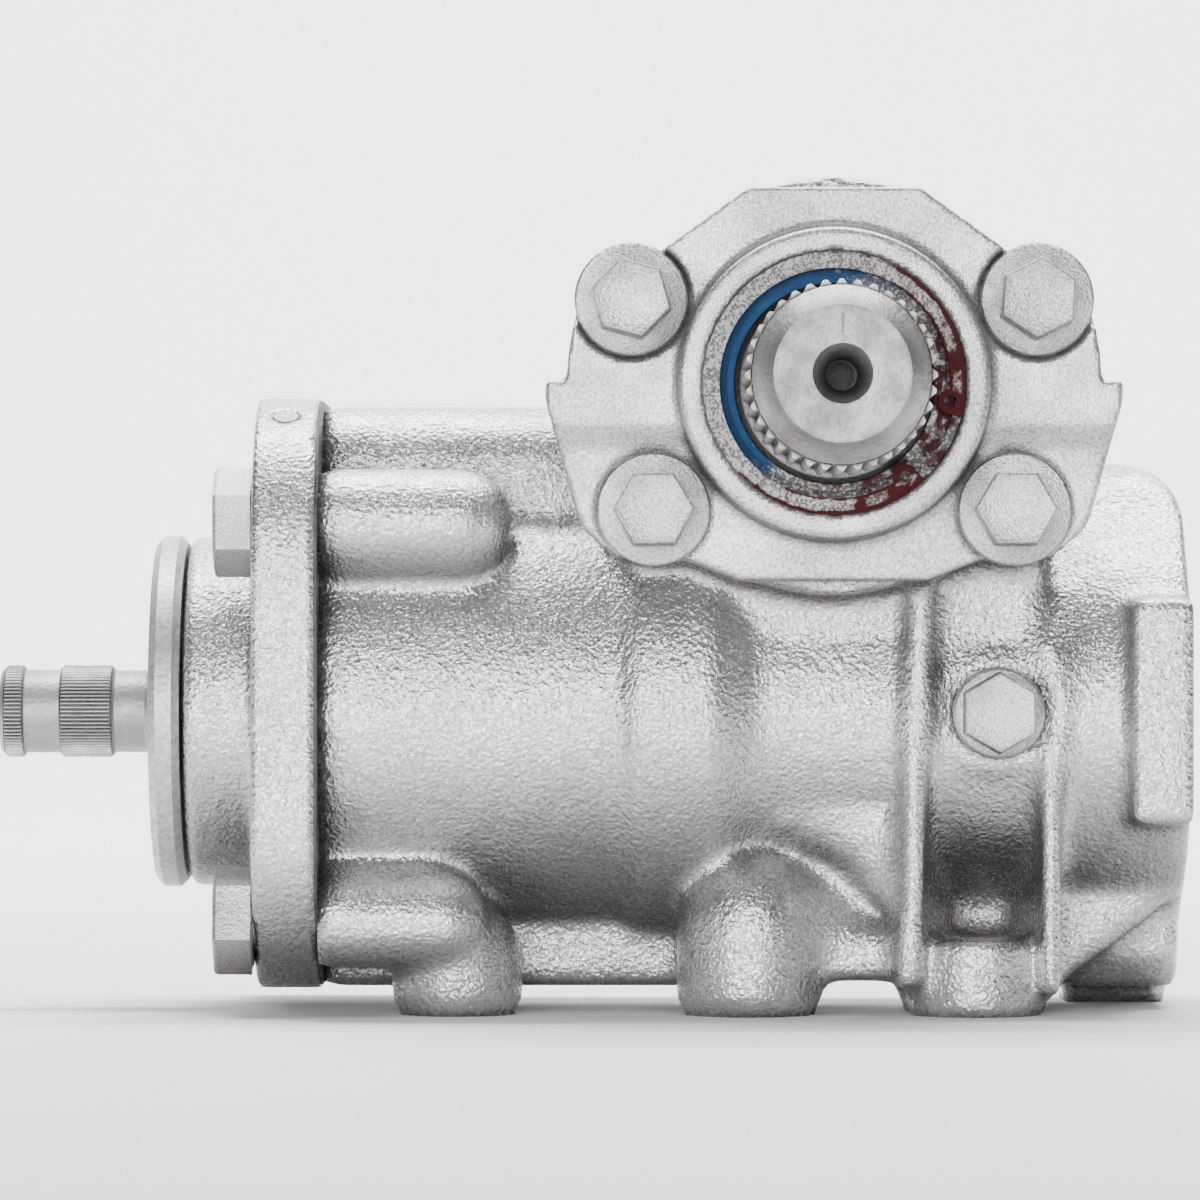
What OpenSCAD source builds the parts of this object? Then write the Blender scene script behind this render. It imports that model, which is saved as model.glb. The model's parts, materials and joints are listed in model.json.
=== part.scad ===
// Recirculating-ball power steering gearbox with rotary valve, worm, ball nut, rack piston and sector shaft.
// The worm lies along X with the input end at -X, the output shaft points to -Y, and +Z is up.
// The origin is the bottom centre of the part's box, on the mounting plane. All sizes are millimetres.

/* [Layout] */
// Height of the worm axis above the mounting plane
worm_height = 61.3; // [60:0.1:63]
// Distance from the worm axis up to the output axis
axis_distance = 65.5; // [65:0.1:66]
// Swing of the output shaft to each side, in degrees
swing = 36; // [30:1:36]
// Piston travel for one turn of the worm
worm_lead = 13.4; // [12.8:0.1:14]

/* [Piston and rack] */
// Radius of the piston
piston_r = 38; // [37.6:0.1:38.2]
// Reach of the piston from the output axis towards the input end
piston_front = 70; // [69:0.5:74]
// Reach of the piston from the output axis towards the closed end
piston_rear = 44; // [40:0.5:46]
// Height of the rack pitch line above the worm axis
rack_height = 33.5; // [33.2:0.1:33.8]
// Pressure angle of the teeth, in degrees
pressure_angle = 25; // [23:0.5:26]
// Radius over the tips of the sector teeth
sector_tip_r = 36; // [35.5:0.1:36]
// Width of the sector teeth along the shaft
sector_width = 34; // [28:1:36]
// Play between rack and sector along the pitch line
backlash = 0.3; // [0.2:0.05:0.5]
// Width of the piston ring
piston_ring_w = 3; // [2:0.5:4]

/* [Worm and balls] */
// Radius over the worm thread
worm_r = 13.2; // [12.9:0.1:13.4]
// Radius of the circle on which the ball centres run
ball_circle_r = 13.5; // [13.4:0.1:13.8]
// Radius of one ball
ball_r = 3.5; // [3.2:0.05:3.6]
// Length of the ball nut
nut_len = 34; // [33:0.5:35]
// Radius of the ball nut
nut_r = 21; // [20.5:0.1:21.5]
// Radius of the neck between worm head and thread
worm_neck_r = 9.3; // [8.5:0.1:9.4]

/* [Input shaft and valve] */
// Radius over the input serrations
input_tip_r = 9.5; // [9.3:0.1:10]
// Radius at the root of the input serrations
input_root_r = 9.05; // [8.9:0.05:9.1]
// Number of input serrations
input_teeth = 72; // [48:4:80]
// Radius of the clamp-bolt groove
clamp_groove_r = 8.6; // [8.2:0.05:8.8]
// Radius of the plain neck
input_neck_r = 8.5; // [8:0.05:8.8]
// Length of the short serration at the tip
tip_serration = 5; // [4:0.5:6]
// Width of the clamp-bolt groove
clamp_groove = 7.3; // [6:0.1:8]
// Length of the long serration
long_serration = 11.4; // [10:0.2:13]
// Length of the plain neck in front of the disc
input_neck = 8.8; // [8:0.2:11]
// Radius of the forged disc
disc_r = 36.3; // [34:0.1:37]
// Thickness of the forged disc
disc_t = 6.3; // [5:0.1:8]
// Radius of the valve spool, which also runs in the input seal
spool_r = 12.5; // [12:0.1:12.8]
// Radius of the torsion bar
torsion_r = 3; // [2.5:0.1:3.2]

/* [End cover] */
// Radius of the round boss
cover_boss_r = 36.1; // [35:0.1:37]
// Length of the round boss
cover_boss_len = 14.9; // [14:0.1:17]
// Thickness of the flange
flange_t = 12.7; // [11:0.1:14]
// Half width of the flange
flange_half = 53; // [52:0.5:55]
// Top of the flange above the worm axis
flange_top = 64.2; // [63:0.2:66]
// Bottom of the flange below the worm axis
flange_bottom = 56.4; // [55:0.2:58]
// Corner radius of the flange
flange_corner = 34; // [30:0.5:36]
// Half spacing of the end cover bolts across the box
end_bolt_y = 37; // [36:0.2:38]
// Height of the upper end cover bolts above the worm axis
end_bolt_up = 38.3; // [37.5:0.1:40]
// Depth of the lower end cover bolts below the worm axis
end_bolt_down = 42.1; // [41:0.1:43]
// Distance across the flats of an end cover bolt
end_bolt_flats = 19; // [17:0.5:19]
// Height of an end cover bolt head
end_bolt_head = 8; // [7:0.2:9]

/* [Housing] */
// Radius of the barrel at the input end
barrel_r = 46; // [45.5:0.1:47]
// Radius of the collar beside the output boss
collar_r = 48; // [47.2:0.1:48.6]
// Radius of the barrel under and behind the output boss
rear_r = 42.3; // [42:0.1:43]
// Wall that closes the barrel
end_wall = 8; // [6:0.5:10]
// Near side of the housing, where the sector cover sits, from the worm axis
seat_depth = 50; // [49.5:0.1:51]
// Radius of the output boss
output_boss_r = 42; // [41.5:0.1:43]
// Top of the block above the barrel, from the worm axis
block_top = 62.8; // [62:0.2:64]
// Top of the closed end above the worm axis
rear_top = 51.3; // [49:0.2:53]
// Far side of the output boss from the worm axis
far_wall = 48; // [47:0.5:50]

/* [Mounting] */
// Wall radius of the mounting threads
mount_hole_r = 4.25; // [4:0.05:4.5]
// Depth of the blind mounting threads
mount_depth = 18; // [15:0.5:19]
// Radius of the front boss
boss_1_r = 13.3; // [12.5:0.1:14]
// Radius of the middle boss
boss_2_r = 14.8; // [14:0.1:15.5]
// Width of the pocket boss
boss_3_w = 26.8; // [25:0.2:27]
// Height of the pocket floor above the mounting plane
pocket_floor = 15.6; // [14:0.2:17]
// Wall radius of the oil ports
port_r = 6.25; // [5.5:0.05:6.5]
// Depth of the oil ports
port_depth = 13; // [11:0.5:14]

/* [Sector cover] */
// Radius of the ring boss
ring_r = 31.2; // [31:0.05:31.3]
// Front of the ring boss, measured from the cover's seat
ring_height = 12; // [11.5:0.1:13]
// Thickness of the upper lugs
upper_lug_t = 8.5; // [8:0.1:9]
// Thickness of the lower lugs
lower_lug_t = 7; // [6.8:0.1:7.4]
// Spot faces of the bolts, measured from the cover's seat
spot_t = 6.3; // [5.5:0.1:6.5]
// Radius of the cover bolt circle
bolt_circle_r = 43.75; // [43.6:0.05:44]
// Angle of the upper cover bolts above the horizontal, in degrees
upper_bolt_angle = 22.6; // [21:0.2:24]
// Angle of the lower cover bolts below the horizontal, in degrees
lower_bolt_angle = 34.8; // [33:0.2:36]
// Distance across the flats of a cover bolt
cover_bolt_flats = 14; // [13:0.5:15]
// Radius of a cover bolt's flange
cover_bolt_flange_r = 11.35; // [10.8:0.05:11.4]

/* [Output shaft] */
// Radius of the journals
journal_r = 20; // [19.5:0.05:20]
// Radius over the output serrations
output_tip_r = 18.5; // [18:0.05:19]
// Radius at the root of the output serrations
output_root_r = 17.3; // [17:0.05:17.6]
// Number of output serrations
output_teeth = 36; // [30:1:40]
// Length of the serrations
serration_len = 39; // [32:0.5:41]
// Length of the coned nose
nose_len = 6; // [4:0.5:7]
// Radius of the flat end
nose_r = 13.3; // [12:0.1:14]
// Radius of the seal bore
seal_bore_r = 26; // [25.8:0.05:26.2]

/* [Adjuster and plug] */
// Radius of the adjuster screw
adjuster_r = 6; // [5:0.1:6.2]
// Distance across the flats of the lock nut
lock_nut_flats = 19; // [18:0.5:21]
// Height of the lock nut
lock_nut_h = 7; // [6:0.5:8]
// Radius of the centre plug's flange
plug_flange_r = 9.3; // [9:0.1:10]
// Distance across the flats of the centre plug
plug_flats = 15; // [13:0.5:15]
// Place of the centre plug behind the output axis
plug_x = 33.5; // [32.5:0.1:34]

/* [Hidden] */
$fn = 64;

// Clearances
slide_gap = 0.05;
press_gap = 0.02;
roll_gap = 0.1;
tooth_gap = 0.5;
end_gap = 0.9;
disc_gap = 0.5;
gasket_t = 0.5;
cut = 1;

// Colours
paint_grey = [0.78, 0.78, 0.76];
bolt_grey = [0.72, 0.72, 0.71];
steel = [0.62, 0.62, 0.60];
dark_steel = [0.40, 0.40, 0.40];
bright_steel = [0.80, 0.80, 0.82];
seal_blue = [0.10, 0.36, 0.58];
seal_black = [0.08, 0.08, 0.08];
gasket_brown = [0.24, 0.20, 0.17];
copper = [0.70, 0.42, 0.28];

// Rack and sector
sector_r = axis_distance - rack_height;
sector_teeth = 16;
sector_kept = 5;
tooth_pitch = 2 * PI * sector_r / sector_teeth;
sector_base_r = sector_r * cos(pressure_angle);
sector_root_r = axis_distance - piston_r - tooth_gap;
rack_root = axis_distance - sector_tip_r - tooth_gap;
travel = sector_r * swing * PI / 180;

// Places along X, from the output axis
bore_end = piston_rear + travel + end_gap;
tail_x = bore_end + end_wall;
front_room = 13.2;
joint_x = -piston_front - travel - front_room;
cover_face_x = joint_x - gasket_t;
flange_x = cover_face_x - flange_t;
boss_face_x = flange_x - cover_boss_len;
disc_back_x = boss_face_x - disc_gap;
disc_front_x = disc_back_x - disc_t;
neck_x = disc_front_x - input_neck;
groove_x = neck_x - long_serration;
tip_groove_x = groove_x - clamp_groove;
tip_x = tip_groove_x - tip_serration;
collar_x = -40.2;
collar_end_x = -23.5;
valley_x = -15;

// Valve end, stacked from the boss face inwards
input_seal_bore_r = 17.5;
seal_x = boss_face_x + 1;
input_seal_len = 7;
web_x = seal_x + input_seal_len + 0.2;
bearing_x = web_x + 1.8;
bearing_len = 12;
bearing_out_r = 29;
bearing_mid_out = 25.4;
bearing_mid_in = 22.2;
worm_head_r = 19;
race_r = (bearing_mid_out + bearing_mid_in) / 2;
race_ball_r = 4;
race_balls = 14;
ring_nut_len = 5;
head_end_x = bearing_x + bearing_len;
stub_end_x = head_end_x + 5;
tongue_len = 4;
tongue_r = 8.5;
tongue_half = 4.5;
tongue_slot_half = 5.25;
sleeve_r = 15.5;
head_bottom_x = stub_end_x + 0.4;
head_floor_x = stub_end_x + tongue_len + 0.5;
head_flange_r = 22;
head_flange_x = head_floor_x + 1.5;
worm_start_x = head_flange_x + 7.5;
bar_end_r = 4.5;
bar_hole_r = bar_end_r + slide_gap;
bar_rear_x = worm_start_x - 1.5;
bar_front_x = tip_x + 6;
pin_r = 1.2;
rear_pin_x = head_flange_x + 3.2;
front_pin_x = groove_x + 5;
pin_play = 0.55;

// Worm and nut
nut_front_x = -piston_front + 3.8;
nut_rear_x = nut_front_x + nut_len;
worm_end_x = nut_rear_x + travel + 4;
tunnel_end_x = worm_end_x + travel + 3;
ball_turns = 2;
ball_start_x = nut_front_x + (nut_len - ball_turns * worm_lead) / 2;
balls = 24;
lead_angle = atan(worm_lead / (2 * PI * ball_circle_r));
worm_step = 30;
nut_step = 20;
worm_groove_r = ball_r + 0.25;
nut_groove_r = ball_r + 0.45;
nut_bore_r = worm_r + 0.8;
tunnel_r = worm_r + 1.3;
return_drop = 26.5;
return_r = 4.6;
return_bore_r = 3.9;

// Places along Y, from the worm axis
seat_y = -seat_depth;
ring_y = seat_y - ring_height;
spot_y = seat_y - spot_t;
clip_t = 1.6;
clip_y = ring_y + 0.8;
seal_t = 7;
seal_front_y = clip_y + clip_t + 0.2;
seal_back_y = seal_front_y + seal_t;
bearing_wall = 1.5;
roller_r = 1.75;
shell_in_r = journal_r + 2 * roller_r + 2 * roll_gap;
shell_r = shell_in_r + bearing_wall;
near_bearing_y = seal_back_y + 1;
bearing_w = 20;
chamber_r = sector_tip_r + 0.6;
spigot_y = -sqrt(pow(piston_r, 2) - pow(axis_distance - chamber_r, 2)) - 0.5;
chamber_y = sector_width / 2 + 3;
far_bearing_y = chamber_y;
far_bearing_w = 20;
spigot_r = chamber_r - press_gap * 2;
shaft_far_y = far_bearing_y + far_bearing_w;
socket_r = 11;
socket_depth = 10;
adjuster_boss = 4;
nut_seat_y = far_wall + adjuster_boss;
screw_end_y = nut_seat_y + lock_nut_h + 7;
land_y = ring_y + 1;
nose_y = land_y - serration_len;
shaft_end_y = nose_y - nose_len;
rollers = 26;

// Mounting places, from the output axis and the worm plane
boss_1 = [-75.6, -29];
boss_2 = [-16.4, -30.5];
boss_3 = [29.4, -31.6];
foot_4 = [61.7, 30];
foot_w = 22;
boss_edge = 2.5;
boss_front_y = -45;
mount_depths = [mount_depth, mount_depth + 1.5, mount_depth + 3];
plug_face_y = -piston_r - 4;
port_x = [-61, -37];
port_rise = 50;
port_face_y = 33;
port_depths = [port_depth, port_depth + 1.5];

// Middle of the part's box, which place() moves to the origin
middle_x = (tip_x + tail_x) / 2;
middle_y = (shaft_end_y + screw_end_y) / 2;

module place() translate([-middle_x, -middle_y, 0]) children();
module at_worm() place() translate([0, 0, worm_height]) children();
module at_output() place() translate([0, 0, worm_height + axis_distance]) children();

// A flat shape given in Y and Z, drawn out along X
module along_x(from, to) translate([from, 0, 0]) rotate([90, 0, 90]) linear_extrude(to - from) children();

// A flat shape given in X and Z, drawn out along Y
module along_y(from, to) translate([0, to, 0]) rotate([90, 0, 0]) linear_extrude(to - from) children();

module rod_x(from, to, r) translate([from, 0, 0]) rotate([0, 90, 0]) cylinder(h = to - from, r = r);
module cone_x(from, to, r1, r2) translate([from, 0, 0]) rotate([0, 90, 0])
    cylinder(h = to - from, r1 = r1, r2 = r2);
module rod_y(from, to, r) translate([0, to, 0]) rotate([90, 0, 0]) cylinder(h = to - from, r = r);
module cone_y(from, to, r1, r2) translate([0, to, 0]) rotate([90, 0, 0])
    cylinder(h = to - from, r1 = r2, r2 = r1);
module rod_z(from, to, r) translate([0, 0, from]) cylinder(h = to - from, r = r);

// Outline of half a turned shape, given as radius and place, turned about X or Y
module turned_x(profile) rotate([90, 0, 90]) rotate_extrude() polygon(profile);
module turned_y(profile) rotate([-90, 0, 0]) rotate_extrude() polygon(profile);

module tube_x(from, to, outer, inner) {
    difference() {
        rod_x(from, to, outer);
        rod_x(from - cut, to + cut, inner);
    }
}

module tube_y(from, to, outer, inner) {
    difference() {
        rod_y(from, to, outer);
        rod_y(from - cut, to + cut, inner);
    }
}

module ring_of(count, r) {
    for (i = [0 : count - 1])
        rotate([0, 360 * i / count, 0]) translate([r, 0, 0]) children();
}

// Box between two corners
module span(a, b) translate(a) cube(b - a);

// Rectangle with round corners, given by its edges
module round_rect(left, right, bottom, top, r) {
    translate([left + r, bottom]) square([right - left - 2 * r, top - bottom]);
    translate([left, bottom + r]) square([right - left, top - bottom - 2 * r]);
    for (u = [left + r, right - r], v = [bottom + r, top - r])
        translate([u, v]) circle(r);
}

// Two circles, one above the other, joined just inside their outer tangents
module pear(r_low, r_high, rise) {
    lean = asin((r_low - r_high) / rise);
    inset = 0.3;
    side = [cos(lean), sin(lean)];
    low = (r_low - inset) * side;
    high = (r_high - inset) * side + [0, rise];
    circle(r_low);
    translate([0, rise]) circle(r_high);
    polygon([[-low[0], low[1]], low, high, [-high[0], high[1]]]);
}

// Toothed outline of a serrated shaft
module serration(teeth, tip_r, root_r) {
    step = 360 / teeth;
    polygon([for (i = [0 : teeth - 1], k = [[-0.12, tip_r], [0.12, tip_r], [0.42, root_r], [0.58, root_r]])
        k[1] * [cos((i + k[0]) * step), sin((i + k[0]) * step)]]);
}

// Hexagon head with a chamfered top, standing on the XY plane
module hex_head(flats, height) {
    corner_r = flats / sqrt(3);
    intersection() {
        cylinder(h = height, r = corner_r, $fn = 6);
        cylinder(h = height + corner_r * 0.5, r1 = corner_r + height * 2,
                 r2 = flats / 2 - corner_r * 0.8 * 0.5);
    }
}

// Bolt places
function end_bolts() = [for (side = [-1, 1], v = [end_bolt_up, -end_bolt_down]) [side * end_bolt_y, v]];
function cover_bolt_places() = [for (side = [-1, 1], a = [upper_bolt_angle, -lower_bolt_angle])
    bolt_circle_r * [side * cos(a), sin(a)]];

// Involute angle and half thickness of a sector tooth, in degrees
function involute(a) = tan(a) * 180 / PI - a;
function tooth_half(r) = (tooth_pitch / 2 - backlash) / 2 / sector_r * 180 / PI
    + involute(pressure_angle) - involute(acos(min(1, sector_base_r / r)));

module sector_tooth() {
    radii = [sector_root_r - 2, for (k = [0 : 5]) sector_base_r + (sector_tip_r - sector_base_r) * k / 5];
    last = len(radii) - 1;
    left = [for (k = [0 : last]) radii[k] * [-sin(tooth_half(radii[k])), -cos(tooth_half(radii[k]))]];
    right = [for (k = [0 : last]) radii[last - k]
        * [sin(tooth_half(radii[last - k])), -cos(tooth_half(radii[last - k]))]];
    polygon(concat(left, right));
}

module rack_gap() {
    low = tooth_pitch / 4 - (rack_height - rack_root) * tan(pressure_angle);
    high_z = piston_r + 2;
    high = tooth_pitch / 4 + (high_z - rack_height) * tan(pressure_angle);
    polygon([[-low, rack_root], [low, rack_root], [high, high_z], [-high, high_z]]);
}

// Helical ball track: outline of one turn, seen along the worm
function track_depth(a, r) = sqrt(max(0, r * r - pow(worm_lead * a / 360 * cos(lead_angle), 2)));
function worm_outline(a) = min(worm_r, track_depth(a, worm_groove_r) > 0
    ? ball_circle_r - track_depth(a, worm_groove_r) : worm_r);
function nut_outline(a) = max(nut_bore_r, track_depth(a, nut_groove_r) > 0
    ? ball_circle_r + track_depth(a, nut_groove_r) : nut_bore_r);

module worm_section() {
    polygon([for (a = [-180 : worm_step : 179]) worm_outline(a) * [cos(a), sin(a)]]);
}

module nut_section() {
    polygon([for (a = [-180 : nut_step : 179]) nut_outline(a) * [cos(a), sin(a)]]);
}

// Right-hand twist along X that starts with the track at the angle of the ball start
module thread(from, to, step) {
    turn = 360 * (to - from) / worm_lead;
    translate([from, 0, 0]) rotate([90, 0, 90])
        rotate(-90 + 360 * (from - ball_start_x) / worm_lead)
            linear_extrude(to - from, twist = -turn, slices = ceil(turn / step), $fn = 360 / step)
                children();
}

// Sector cover outline about the output axis
module cover_outline() {
    upper = cover_bolt_places()[2];
    flat_z = 39.2;
    upper_r = 53.2;
    lower_r = 57.5;
    upper_top = 26.5;
    lower_bottom = -34.6;
    polygon([[-18.6, -flat_z], [18.6, -flat_z], [30, lower_bottom], [36, 0], [34.6, upper_top],
             [17, flat_z], [-17, flat_z], [-34.6, upper_top], [-36, 0], [-30, lower_bottom]]);
    intersection() {
        circle(upper_r);
        translate([-upper_r, -1]) square([2 * upper_r, upper_top + 1]);
        union() {
            translate([-upper_r, -1]) square([2 * upper_r, upper[1] + 1]);
            translate([-upper[0], -1]) square([2 * upper[0], upper_top + 1]);
            for (side = [-1, 1])
                translate([side * upper[0], upper[1]]) circle(11.8);
        }
    }
    intersection() {
        circle(lower_r);
        polygon([[-43, lower_bottom], [43, lower_bottom], [50.5, -28.5], [lower_r + 1, 0.5],
                 [-lower_r - 1, 0.5], [-50.5, -28.5]]);
    }
}

// Castings: each mass overshoots the planes that the mill cuts, so every machined face is one cut

// Upright boss with a rounded foot and a domed top
module domed_boss(r, height, rise) {
    dome = [for (a = [0 : 15 : 75]) [r * cos(a), height + rise * sin(a)]];
    foot = [[0, -cut], [r - boss_edge, -cut], [r - boss_edge, 0], [r, boss_edge]];
    rotate_extrude() polygon(concat(foot, dome, [[0, height + rise * sin(75)]]));
}

module end_boss(place_yz, r, length) {
    from = joint_x - cut;
    translate([from, place_yz[0], place_yz[1]])
        turned_x([[0, 0], [r, 0], [r, length], [r * 0.8, length + r * 0.5], [r * 0.4, length + r * 0.8],
                  [0, length + r * 0.8]]);
    along_x(from, from + length - 2)
        rotate(atan2(place_yz[1], place_yz[0])) translate([20, -r * 0.8])
            square([norm(place_yz) - 20, r * 1.6]);
}

module barrel() {
    at_worm() {
        turned_x([[0, joint_x - cut], [barrel_r, joint_x - cut], [barrel_r, collar_x - 1],
                  [collar_r, collar_x], [collar_r, collar_end_x], [rear_r, valley_x], [rear_r, 44], [0, 44]]);
        for (p = end_bolts())
            end_boss(p, p[1] > 0 ? (p[0] < 0 ? 11 : 9.3) : 9.8, p[1] > 0 ? 31 : 27);
    }
}

module top_block() {
    at_worm() along_x(joint_x - cut, -22) round_rect(-25, 30, 20, block_top, 14);
}

module closed_end() {
    high_r = 20;
    at_worm() intersection() {
        along_x(40, tail_x) pear(rear_r + 0.25, high_r, rear_top - high_r);
        along_y(-70, 70) round_rect(-30, tail_x, -70, rear_top, 12);
        turned_x([[0, 30], [80, 30], [80, tail_x - 22], [rear_r - 5, tail_x + 6], [0, tail_x + 6]]);
    }
}

module output_boss() {
    at_output() {
        turned_y([[0, seat_y - cut], [output_boss_r, seat_y - cut], [output_boss_r, chamber_y + 4],
                  [32, chamber_y + 14], [32, far_wall - 2], [30, far_wall], [15, far_wall],
                  [15, far_wall + adjuster_boss], [0, far_wall + adjuster_boss]]);
        along_y(seat_y - cut, seat_y + 9) cover_outline();
        for (p = cover_bolt_places())
            translate([p[0], 0, p[1]])
                turned_y([[0, seat_y - cut], [10.5, seat_y - cut], [10.5, seat_y + 26], [4, seat_y + 34],
                          [0, seat_y + 34]]);
    }
    at_worm() span([collar_end_x - 8, -39.5, 0], [42, 24, axis_distance]);
}

module mount_bosses() {
    place() {
        translate([boss_1[0], boss_1[1], 0]) domed_boss(boss_1_r, 11, 13.5);
        translate([boss_2[0], boss_2[1], 0]) domed_boss(boss_2_r, 17, 16.5);
        span([joint_x - cut, -18, 5], [collar_end_x - 3, 18, 30]);
        span([collar_end_x - 6, -30, 6.6], [16.2, 17, 29]);
        along_y(-35.6, -20)
            polygon([[-27, 8], [-22, 22], [-9.4, 31.6], [-2.1, 25.6], [4.2, 18.9], [11, 17.2], [15.5, 17.2],
                     [15.5, 7.2], [0, 7.2]]);
        along_y(-37.5, -20)
            polygon([[-11.5, 46], [-10.6, 38.7], [5.2, 29.4], [10.4, 22.4], [15.3, 22.4], [16.4, 46]]);
        translate([boss_3[0], boss_3[1], 0]) rod_z(-cut, pocket_floor, boss_3_w / 2);
        span([boss_3[0] - boss_3_w / 2 + 0.4, boss_3[1] - 3, -cut],
             [boss_3[0] + boss_3_w / 2 - 0.4, 0, pocket_floor - 0.3]);
        span([foot_4[0] - foot_w / 2, foot_4[1] - 13, -cut], [foot_4[0] + foot_w / 2, foot_4[1] + 13, 33]);
        along_y(-23, foot_4[1] - 8)
            polygon([[43, 1.5], [45, 1.5], [48.4, 6.5], [58, 13.6], [66, 19.8], [72.2, 25.6], [72.2, 35.5],
                     [43, 35.5]]);
        along_x(foot_4[0] - foot_w / 2 + 0.4, foot_4[0] + foot_w / 2 - 0.2)
            polygon([[-14, 33.5], [-14, 11], [-9, 4.5], [foot_4[1] - 10, 4.5], [foot_4[1] - 10, 33.5]]);
        along_x(foot_4[0] - foot_w / 2 + 2, foot_4[0] + foot_w / 2 - 2)
            polygon([[10, 8], [foot_4[1] + 11, 8], [foot_4[1] + 11, 17], [40, 62], [10, 62]]);
    }
}

// Sloped side wall of the pocket, from its mouth to its back
module pocket_side(mouth_x, back_x, top) {
    translate([0, 0, 3]) linear_extrude(top) polygon([[mouth_x, -41], [back_x, -19], [mouth_x, -19]]);
}

module pocket_ribs() {
    rib_top = worm_height + 34;
    place() {
        along_y(boss_front_y, -18) polygon([[13, 6], [18, 6], [20.7, rib_top], [15.6, rib_top]]);
        span([42.2, boss_front_y + 1, 4], [46.2, -10, worm_height + 16]);
        span([17, plug_face_y + 2, 53], [43.4, -20, rib_top - 1]);
        span([14.6, -20, 2], [44.4, -9, 45]);
        pocket_side(17.5, 26, 44);
        pocket_side(43.6, 36.5, 44);
    }
    at_worm() translate([plug_x, 0, 0]) rod_y(plug_face_y, -20, 11.6);
}

module bare_pad() {
    at_worm() span([tail_x - 12.5, -46, -23], [tail_x - 0.2, -20, 23.3]);
}

module port_bosses() {
    at_worm() for (x = port_x)
        translate([x, 0, port_rise]) rod_y(20, port_face_y, 11);
}

module milled_planes() {
    far = 150;
    place() {
        span([joint_x - far, -far, -far], [joint_x, far, 2 * far]);
        span([-far, seat_y - far, -far], [far, seat_y, 2 * far]);
        span([-far, -far, -far], [far, far, 0]);
    }
}

module housing() {
    color(paint_grey) difference() {
        union() {
            barrel();
            top_block();
            closed_end();
            output_boss();
            mount_bosses();
            pocket_ribs();
            bare_pad();
            port_bosses();
        }
        milled_planes();
        housing_bores();
        housing_holes();
    }
}

module housing_bores() {
    at_worm() {
        rod_x(joint_x - cut, bore_end, piston_r + slide_gap);
        rod_x(joint_x - cut, joint_x + 4, piston_r + 1.5);
        translate([plug_x, 0, 0]) rod_y(plug_face_y - 10, -20, 7);
        translate([plug_x, 0, 0]) rod_y(plug_face_y - 10, plug_face_y, 12.5);
    }
    at_output() {
        rod_y(seat_y - cut, chamber_y, chamber_r);
        rod_y(chamber_y - cut, far_bearing_y + far_bearing_w + 2, shell_r + press_gap);
        rod_y(far_bearing_y, nut_seat_y + cut, adjuster_r + press_gap);
    }
}

module housing_holes() {
    at_output() for (p = cover_bolt_places())
        translate([p[0], 0, p[1]]) rod_y(seat_y - cut, seat_y + 20, 5);
    at_worm() {
        for (p = end_bolts())
            translate([0, p[0], p[1]]) rod_x(joint_x - cut, joint_x + 24, 6);
        for (i = [0, 1])
            translate([port_x[i], 0, port_rise]) {
                rod_y(port_face_y - port_depths[i], port_face_y + cut, port_r);
                translate([0, port_face_y - port_depths[i] + 4, 0]) rod_z(-30, 0, 3);
            }
    }
    place() {
        blind = [boss_1, boss_2, foot_4];
        for (i = [0 : 2])
            translate([blind[i][0], blind[i][1], -cut]) rod_z(0, mount_depths[i] + cut, mount_hole_r);
        translate([boss_3[0], boss_3[1], -cut]) rod_z(0, pocket_floor + 2 * cut, mount_hole_r);
    }
}

module end_cover() {
    edge = 1.5;
    color(paint_grey) at_worm() difference() {
        union() {
            along_x(flange_x, cover_face_x)
                round_rect(-flange_half, flange_half, -flange_bottom, flange_top, flange_corner);
            rod_x(boss_face_x + edge, flange_x + 1, cover_boss_r);
            cone_x(boss_face_x, boss_face_x + edge, cover_boss_r - edge, cover_boss_r);
        }
        rod_x(boss_face_x - cut, web_x, input_seal_bore_r);
        rod_x(boss_face_x, bearing_x + cut, spool_r + 0.5);
        rod_x(bearing_x, cover_face_x + cut, bearing_out_r);
        for (p = end_bolts())
            translate([0, p[0], p[1]]) rod_x(flange_x - cut, cover_face_x + cut, 6.5);
        gallery_axis() rod_z(-9, 10, 2.5);
    }
}

// Seat of the gallery plug, on the rounded near upper corner of the end cover's flange
module gallery_axis() {
    lean = 28;
    translate([(flange_x + cover_face_x) / 2, 0, 0])
        translate([0, flange_corner - flange_half, flange_top - flange_corner])
            rotate([lean, 0, 0]) translate([0, 0, flange_corner]) children();
}

module gallery_plug() {
    color(steel) at_worm() gallery_axis() rod_z(-8.8, -0.3, 2.5 - press_gap);
}

module end_cover_gasket() {
    inset = 0.6;
    color(gasket_brown) at_worm() difference() {
        along_x(cover_face_x, joint_x)
            round_rect(-flange_half + inset, flange_half - inset, inset - flange_bottom, flange_top - inset,
                       flange_corner - inset);
        rod_x(cover_face_x - cut, joint_x + cut, piston_r + 1.5);
        for (p = end_bolts())
            translate([0, p[0], p[1]]) rod_x(cover_face_x - cut, joint_x + cut, 6.5);
    }
}

module end_cover_bolts() {
    turns = [0, 12, 30, 20];
    places = end_bolts();
    color(bolt_grey) at_worm() for (i = [0 : 3])
        translate([flange_x, places[i][0], places[i][1]]) {
            rotate([0, -90, 0]) rotate(turns[i]) hex_head(end_bolt_flats, end_bolt_head);
            rod_x(-1, flange_t + gasket_t + 20, 6 - press_gap);
        }
}

// Input shaft, valve and torsion bar

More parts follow.
